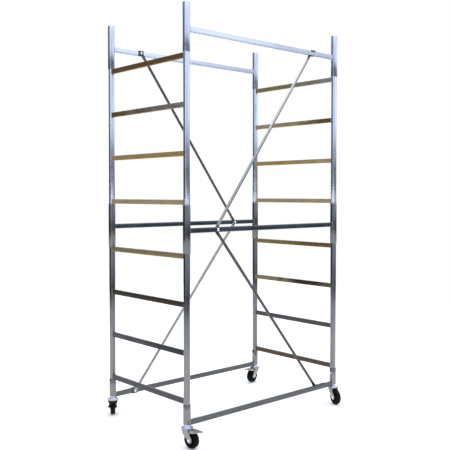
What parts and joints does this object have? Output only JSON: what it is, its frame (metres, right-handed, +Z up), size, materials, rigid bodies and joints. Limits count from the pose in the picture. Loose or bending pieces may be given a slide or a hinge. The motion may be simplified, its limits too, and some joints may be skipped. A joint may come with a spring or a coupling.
{
  "type": "mobile scaffold tower section",
  "caption": "Mobile scaffold section of ladder end frames stacked in sleeved long-side rails, with diagonal braces and swivel castors, some of them braked.",
  "frame": {"origin": "on the floor, midway between the axes of the four uprights", "axes": "+Z up; +X along the long side with the rails, towards the right end; +Y from the front long side to the rear one"},
  "size_m": [1.3763, 0.9771, 2.544],
  "materials": {
    "upright_zinc": "blue-bright zinc plated round tube, softly reflective with faint draw lines",
    "sleeve_zinc": "blue-bright zinc plated round sleeve tube, a little brighter at the rims",
    "rail_zinc": "blue-bright zinc plated rectangular tube, softly reflective",
    "rung_zinc": "yellow-passivated zinc plated rectangular tube, tan with darker and warmer patches",
    "brace_zinc": "grey zinc plated thin round tube with a clear highlight line",
    "claw_steel": "dark oiled steel strip, darker than the tubes",
    "bolt_zinc": "bright zinc plated fasteners",
    "lug_zinc": "bright whitish zinc plated plate, a little dull at the far tip",
    "castor_zinc": "zinc plated pressed sheet, warm grey with handling marks",
    "stem_zinc": "bright blue-white zinc plated swivel head, collar and plug",
    "tyre_rubber": "black rubber tread, matt with light scuffs",
    "hub_plastic": "black moulded wheel centre"
  },
  "bodies": {
    "tower_frame": {"lower_left_front_upright": "upright_zinc", "lower_left_rear_upright": "upright_zinc", "lower_left_rungs": "rung_zinc", "lower_right_front_upright": "upright_zinc", "lower_right_rear_upright": "upright_zinc", "lower_right_rungs": "rung_zinc", "upper_left_front_upright": "upright_zinc", "upper_left_rear_upright": "upright_zinc", "upper_left_rungs": "rung_zinc", "upper_right_front_upright": "upright_zinc", "upper_right_rear_upright": "upright_zinc", "upper_right_rungs": "rung_zinc", "base_front_rail": "rail_zinc", "base_front_sleeves": "sleeve_zinc", "base_rear_rail": "rail_zinc", "base_rear_sleeves": "sleeve_zinc", "mid_front_rail": "rail_zinc", "mid_front_sleeves": "sleeve_zinc", "mid_rear_rail": "rail_zinc", "mid_rear_sleeves": "sleeve_zinc", "top_front_rail": "rail_zinc", "top_front_sleeves": "sleeve_zinc", "top_rear_rail": "rail_zinc", "top_rear_sleeves": "sleeve_zinc", "upper_front_brace": "brace_zinc", "upper_front_brace_claw": "claw_steel", "lower_front_brace": "brace_zinc", "lower_front_brace_claw": "claw_steel", "upper_rear_brace": "brace_zinc", "upper_rear_brace_claw": "claw_steel", "lower_rear_brace": "brace_zinc", "lower_rear_brace_claw": "claw_steel", "mid_brace_bolts": "bolt_zinc", "base_sleeve_lock_bolts": "bolt_zinc", "base_rail_lugs": "lug_zinc", "front_left_castor_stem": "stem_zinc", "front_right_castor_stem": "stem_zinc", "rear_left_castor_stem": "stem_zinc", "rear_right_castor_stem": "stem_zinc"},
    "front_left_swivel": {"front_left_castor_fork": "castor_zinc", "front_left_castor_axle": "bolt_zinc"},
    "front_left_wheel": {"front_left_castor_tyre": "tyre_rubber", "front_left_castor_hub": "hub_plastic"},
    "front_left_brake": {"front_left_castor_brake_pedal": "castor_zinc"},
    "front_right_swivel": {"front_right_castor_fork": "castor_zinc", "front_right_castor_axle": "bolt_zinc"},
    "front_right_wheel": {"front_right_castor_tyre": "tyre_rubber", "front_right_castor_hub": "hub_plastic"},
    "rear_left_swivel": {"rear_left_castor_fork": "castor_zinc", "rear_left_castor_axle": "bolt_zinc"},
    "rear_left_wheel": {"rear_left_castor_tyre": "tyre_rubber", "rear_left_castor_hub": "hub_plastic"},
    "rear_right_swivel": {"rear_right_castor_fork": "castor_zinc", "rear_right_castor_axle": "bolt_zinc"},
    "rear_right_wheel": {"rear_right_castor_tyre": "tyre_rubber", "rear_right_castor_hub": "hub_plastic"},
    "rear_right_brake": {"rear_right_castor_brake_pedal": "castor_zinc"}
  },
  "joints": [
    {"name": "front_left_castor_swivel", "type": "hinge", "parent": "tower_frame", "child": "front_left_swivel", "pos_m": [-0.652, -0.389, 0.117], "axis": [0, 0, 1], "continuous": true},
    {"name": "front_left_wheel_spin", "type": "hinge", "parent": "front_left_swivel", "child": "front_left_wheel", "pos_m": [-0.64803, -0.42679, 0.05], "axis": [0.9945, 0.1045, 0], "continuous": true},
    {"name": "front_left_brake_press", "type": "hinge", "parent": "front_left_swivel", "child": "front_left_brake", "pos_m": [-0.65263, -0.38303, 0.092], "axis": [0.9945, 0.1045, 0], "range_deg": [0, 6]},
    {"name": "front_right_castor_swivel", "type": "hinge", "parent": "tower_frame", "child": "front_right_swivel", "pos_m": [0.652, -0.389, 0.117], "axis": [0, 0, 1], "continuous": true},
    {"name": "front_right_wheel_spin", "type": "hinge", "parent": "front_right_swivel", "child": "front_right_wheel", "pos_m": [0.639, -0.42471, 0.05], "axis": [0.9397, -0.342, 0], "continuous": true},
    {"name": "rear_left_castor_swivel", "type": "hinge", "parent": "tower_frame", "child": "rear_left_swivel", "pos_m": [-0.652, 0.389, 0.117], "axis": [0, 0, 1], "continuous": true},
    {"name": "rear_left_wheel_spin", "type": "hinge", "parent": "rear_left_swivel", "child": "rear_left_wheel", "pos_m": [-0.6313, 0.42087, 0.05], "axis": [-0.8387, 0.5446, 0], "continuous": true},
    {"name": "rear_right_castor_swivel", "type": "hinge", "parent": "tower_frame", "child": "rear_right_swivel", "pos_m": [0.652, 0.389, 0.117], "axis": [0, 0, 1], "continuous": true},
    {"name": "rear_right_wheel_spin", "type": "hinge", "parent": "rear_right_swivel", "child": "rear_right_wheel", "pos_m": [0.61447, 0.38305, 0.05], "axis": [0.1564, -0.9877, 0], "continuous": true},
    {"name": "rear_right_brake_press", "type": "hinge", "parent": "rear_right_swivel", "child": "rear_right_brake", "pos_m": [0.65793, 0.38994, 0.092], "axis": [0.1564, -0.9877, 0], "range_deg": [0, 6]}
  ]
}
